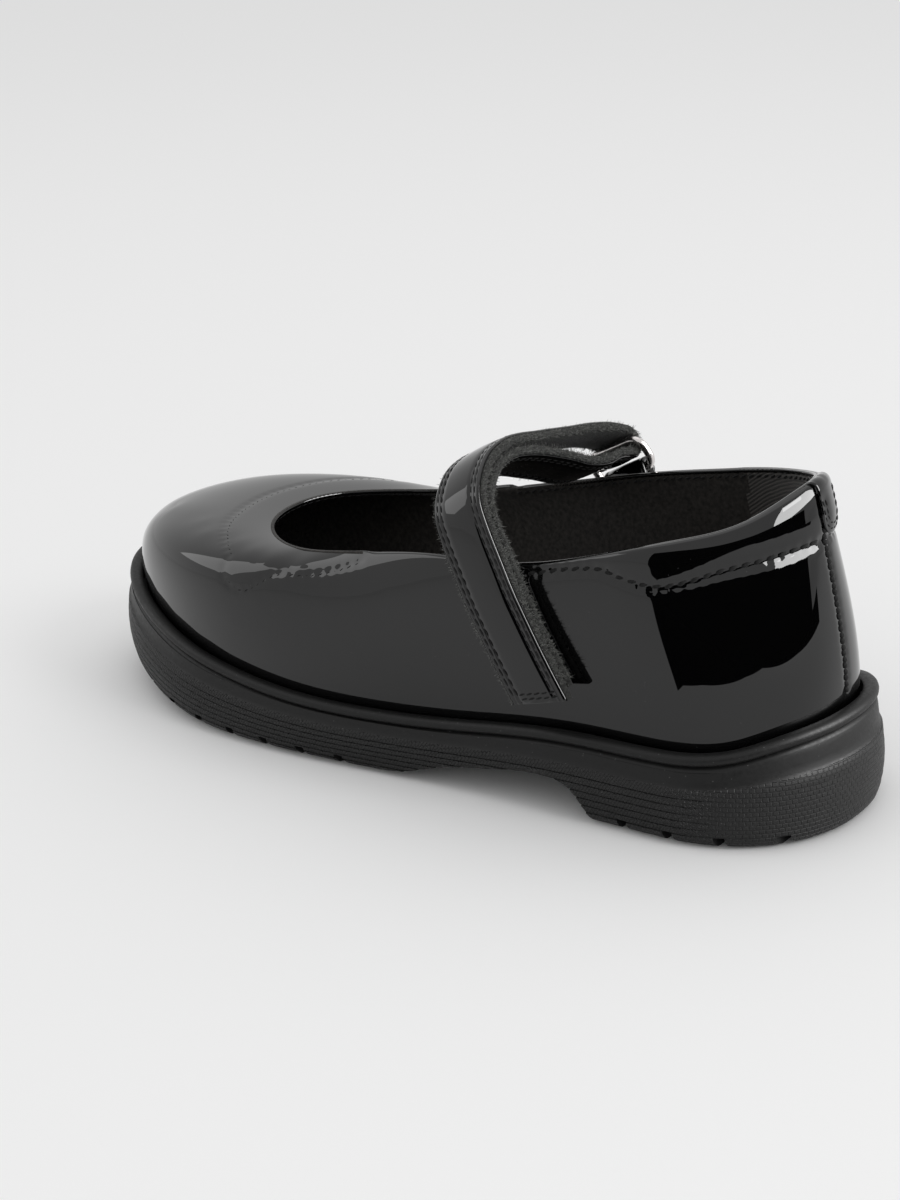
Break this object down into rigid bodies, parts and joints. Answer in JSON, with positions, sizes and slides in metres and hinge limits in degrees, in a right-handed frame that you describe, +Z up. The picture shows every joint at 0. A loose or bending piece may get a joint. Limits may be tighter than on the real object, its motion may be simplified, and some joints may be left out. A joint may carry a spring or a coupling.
{
  "type": "mary jane shoe",
  "caption": "Child's left mary jane in black patent with a cleated rubber unit sole and a touch-close strap folded through a wire ring.",
  "frame": {"origin": "on the ground under the middle of the box round the whole shoe", "axes": "+X towards the toe along the shoe, +Y towards the wearer's left, which is the outer side, +Z up"},
  "size_m": [0.231, 0.086, 0.0862],
  "materials": {
    "patent": "black patent, high gloss",
    "rubber": "matte black moulded rubber, knurled",
    "lining": "dark brushed lining, also the loop side of the strap",
    "thread": "black twisted thread",
    "wire": "polished nickel wire"
  },
  "bodies": {
    "root": {"sole": "rubber", "upper": "patent", "insole": "lining", "strap": "patent", "ring": "wire", "ring_tab": "patent", "back_tab": "patent"}
  },
  "joints": []
}
